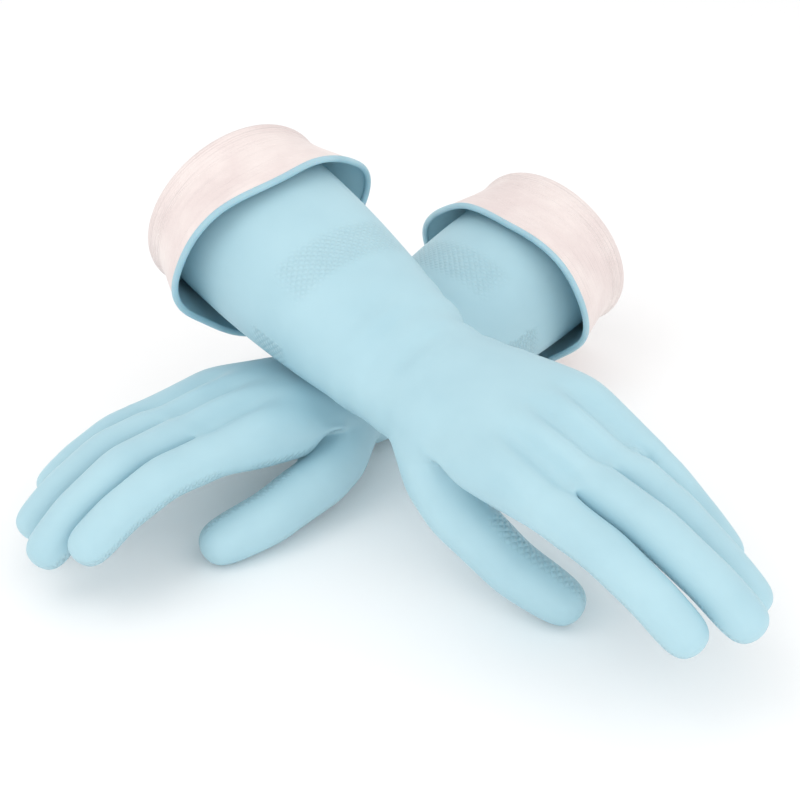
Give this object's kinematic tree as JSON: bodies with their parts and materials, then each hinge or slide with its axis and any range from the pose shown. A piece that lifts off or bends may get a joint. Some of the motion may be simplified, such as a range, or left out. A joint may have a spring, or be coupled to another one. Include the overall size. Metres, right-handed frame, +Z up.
{
  "type": "rubber gloves",
  "caption": "Pair of long household rubber gloves with turned-back cuffs, a left-hand and a right-hand one, lying crossed with their palms down and fingers slightly curled.",
  "frame": {"origin": "on the surface that the gloves lie on, under the middle of the pair", "axes": "+Z up from the surface; the fingers of both gloves point towards -Y, the left-hand glove to +X and the right-hand glove to -X"},
  "size_m": [0.3106, 0.361, 0.1469],
  "materials": {
    "rubber_film": "pale blue dipped latex, soft satin, fine diamond grip on the palm side and across the sleeve",
    "bead_rubber": "pale blue latex rolled into a smooth bead",
    "flock_lining": "matt pale pink flock lining"
  },
  "bodies": {
    "right_glove": {"right_sleeve": "rubber_film", "right_sleeve_lining": "flock_lining", "right_turned_cuff": "rubber_film", "right_cuff_lining": "flock_lining", "right_cuff_bead": "bead_rubber", "right_hand": "rubber_film", "right_hand_lining": "flock_lining"},
    "left_sleeve": {"left_sleeve": "rubber_film", "left_sleeve_lining": "flock_lining", "left_turned_cuff": "rubber_film", "left_cuff_lining": "flock_lining", "left_cuff_bead": "bead_rubber"},
    "left_hand": {"left_hand": "rubber_film", "left_hand_lining": "flock_lining"},
    "right_index": {"right_index_stall": "rubber_film"},
    "right_index_end": {"right_index_tip": "rubber_film"},
    "right_middle": {"right_middle_stall": "rubber_film"},
    "right_middle_end": {"right_middle_tip": "rubber_film"},
    "right_ring": {"right_ring_stall": "rubber_film"},
    "right_ring_end": {"right_ring_tip": "rubber_film"},
    "right_little": {"right_little_stall": "rubber_film"},
    "right_little_end": {"right_little_tip": "rubber_film"},
    "right_thumb": {"right_thumb_stall": "rubber_film"},
    "right_thumb_end": {"right_thumb_tip": "rubber_film"},
    "left_index": {"left_index_stall": "rubber_film"},
    "left_index_end": {"left_index_tip": "rubber_film"},
    "left_middle": {"left_middle_stall": "rubber_film"},
    "left_middle_end": {"left_middle_tip": "rubber_film"},
    "left_ring": {"left_ring_stall": "rubber_film"},
    "left_ring_end": {"left_ring_tip": "rubber_film"},
    "left_little": {"left_little_stall": "rubber_film"},
    "left_little_end": {"left_little_tip": "rubber_film"},
    "left_thumb": {"left_thumb_stall": "rubber_film"},
    "left_thumb_end": {"left_thumb_tip": "rubber_film"}
  },
  "joints": [
    {"name": "left_glove_lift", "type": "slide", "parent": "right_glove", "child": "left_sleeve", "axis": [0, 0, 1], "range_m": [0, 0.15]},
    {"name": "left_wrist_bend", "type": "hinge", "parent": "left_sleeve", "child": "left_hand", "pos_m": [0.02145, -0.02336, 0.0684], "axis": [0.7469, 0.6523, 0.1291], "range_deg": [-16, 0], "stiffness_Nm_per_rad": 1.5},
    {"name": "right_index_curl", "type": "hinge", "parent": "right_glove", "child": "right_index", "pos_m": [-0.06942, -0.05226, 0.04278], "axis": [0.6967, -0.7138, 0.0715], "range_deg": [-10, 36], "stiffness_Nm_per_rad": 0.3},
    {"name": "right_index_end_curl", "type": "hinge", "parent": "right_index", "child": "right_index_end", "pos_m": [-0.08835, -0.07066, 0.04355], "axis": [0.6967, -0.7138, 0.0715], "range_deg": [-10, 36], "stiffness_Nm_per_rad": 0.3},
    {"name": "right_middle_curl", "type": "hinge", "parent": "right_glove", "child": "right_middle", "pos_m": [-0.08571, -0.03923, 0.04308], "axis": [0.6967, -0.7138, 0.0715], "range_deg": [-10, 36], "stiffness_Nm_per_rad": 0.3},
    {"name": "right_middle_end_curl", "type": "hinge", "parent": "right_middle", "child": "right_middle_end", "pos_m": [-0.10733, -0.06041, 0.04239], "axis": [0.6967, -0.7138, 0.0715], "range_deg": [-10, 36], "stiffness_Nm_per_rad": 0.3},
    {"name": "right_ring_curl", "type": "hinge", "parent": "right_glove", "child": "right_ring", "pos_m": [-0.09704, -0.0211, 0.03918], "axis": [0.6455, -0.7588, 0.0865], "range_deg": [-10, 36], "stiffness_Nm_per_rad": 0.3},
    {"name": "right_ring_end_curl", "type": "hinge", "parent": "right_ring", "child": "right_ring_end", "pos_m": [-0.11775, -0.03891, 0.03745], "axis": [0.6455, -0.7588, 0.0865], "range_deg": [-10, 36], "stiffness_Nm_per_rad": 0.3},
    {"name": "right_little_curl", "type": "hinge", "parent": "right_glove", "child": "right_little", "pos_m": [-0.10483, -0.00168, 0.03305], "axis": [0.5772, -0.8099, 0.1046], "range_deg": [-10, 36], "stiffness_Nm_per_rad": 0.3},
    {"name": "right_little_end_curl", "type": "hinge", "parent": "right_little", "child": "right_little_end", "pos_m": [-0.11895, -0.01194, 0.0315], "axis": [0.5772, -0.8099, 0.1046], "range_deg": [-10, 36], "stiffness_Nm_per_rad": 0.3},
    {"name": "right_thumb_curl", "type": "hinge", "parent": "right_glove", "child": "right_thumb", "pos_m": [-0.03544, -0.02967, 0.01677], "axis": [0.0369, 0.1586, -0.9867], "range_deg": [-10, 24], "stiffness_Nm_per_rad": 0.3},
    {"name": "right_thumb_end_curl", "type": "hinge", "parent": "right_thumb", "child": "right_thumb_end", "pos_m": [-0.05104, -0.04688, 0.01342], "axis": [0.0369, 0.1586, -0.9867], "range_deg": [-10, 24], "stiffness_Nm_per_rad": 0.3},
    {"name": "left_index_curl", "type": "hinge", "parent": "left_hand", "child": "left_index", "pos_m": [0.07035, -0.12395, 0.0626], "axis": [0.74, 0.6602, 0.1286], "range_deg": [-10, 36], "stiffness_Nm_per_rad": 0.3},
    {"name": "left_index_end_curl", "type": "hinge", "parent": "left_index", "child": "left_index_end", "pos_m": [0.08822, -0.1431, 0.05811], "axis": [0.74, 0.6602, 0.1286], "range_deg": [-10, 36], "stiffness_Nm_per_rad": 0.3},
    {"name": "left_middle_curl", "type": "hinge", "parent": "left_hand", "child": "left_middle", "pos_m": [0.08793, -0.11391, 0.0677], "axis": [0.7469, 0.6523, 0.1291], "range_deg": [-10, 36], "stiffness_Nm_per_rad": 0.3},
    {"name": "left_middle_end_curl", "type": "hinge", "parent": "left_middle", "child": "left_middle_end", "pos_m": [0.10826, -0.13626, 0.06301], "axis": [0.7469, 0.6523, 0.1291], "range_deg": [-10, 36], "stiffness_Nm_per_rad": 0.3},
    {"name": "left_ring_curl", "type": "hinge", "parent": "left_hand", "child": "left_ring", "pos_m": [0.1002, -0.09598, 0.06642], "axis": [0.7237, 0.6783, 0.1272], "range_deg": [-10, 36], "stiffness_Nm_per_rad": 0.3},
    {"name": "left_ring_end_curl", "type": "hinge", "parent": "left_ring", "child": "left_ring_end", "pos_m": [0.11888, -0.11418, 0.05719], "axis": [0.7237, 0.6783, 0.1272], "range_deg": [-10, 36], "stiffness_Nm_per_rad": 0.3},
    {"name": "left_little_curl", "type": "hinge", "parent": "left_hand", "child": "left_little", "pos_m": [0.10869, -0.07623, 0.06364], "axis": [0.7118, 0.691, 0.1262], "range_deg": [-10, 36], "stiffness_Nm_per_rad": 0.3},
    {"name": "left_little_end_curl", "type": "hinge", "parent": "left_little", "child": "left_little_end", "pos_m": [0.12033, -0.08668, 0.05523], "axis": [0.7118, 0.691, 0.1262], "range_deg": [-10, 36], "stiffness_Nm_per_rad": 0.3},
    {"name": "left_thumb_curl", "type": "hinge", "parent": "left_hand", "child": "left_thumb", "pos_m": [0.04494, -0.0833, 0.03466], "axis": [0.1489, -0.584, 0.798], "range_deg": [-10, 24], "stiffness_Nm_per_rad": 0.3},
    {"name": "left_thumb_end_curl", "type": "hinge", "parent": "left_thumb", "child": "left_thumb_end", "pos_m": [0.06128, -0.09531, 0.02282], "axis": [0.1489, -0.584, 0.798], "range_deg": [-10, 24], "stiffness_Nm_per_rad": 0.3}
  ],
  "couplings": [
    {"joint": "right_index_end_curl", "follows": "right_index_curl", "ratio": 1},
    {"joint": "right_middle_end_curl", "follows": "right_middle_curl", "ratio": 1},
    {"joint": "right_ring_end_curl", "follows": "right_ring_curl", "ratio": 1},
    {"joint": "right_little_end_curl", "follows": "right_little_curl", "ratio": 1},
    {"joint": "right_thumb_end_curl", "follows": "right_thumb_curl", "ratio": 1},
    {"joint": "left_index_end_curl", "follows": "left_index_curl", "ratio": 1},
    {"joint": "left_middle_end_curl", "follows": "left_middle_curl", "ratio": 1},
    {"joint": "left_ring_end_curl", "follows": "left_ring_curl", "ratio": 1},
    {"joint": "left_little_end_curl", "follows": "left_little_curl", "ratio": 1},
    {"joint": "left_thumb_end_curl", "follows": "left_thumb_curl", "ratio": 1}
  ]
}
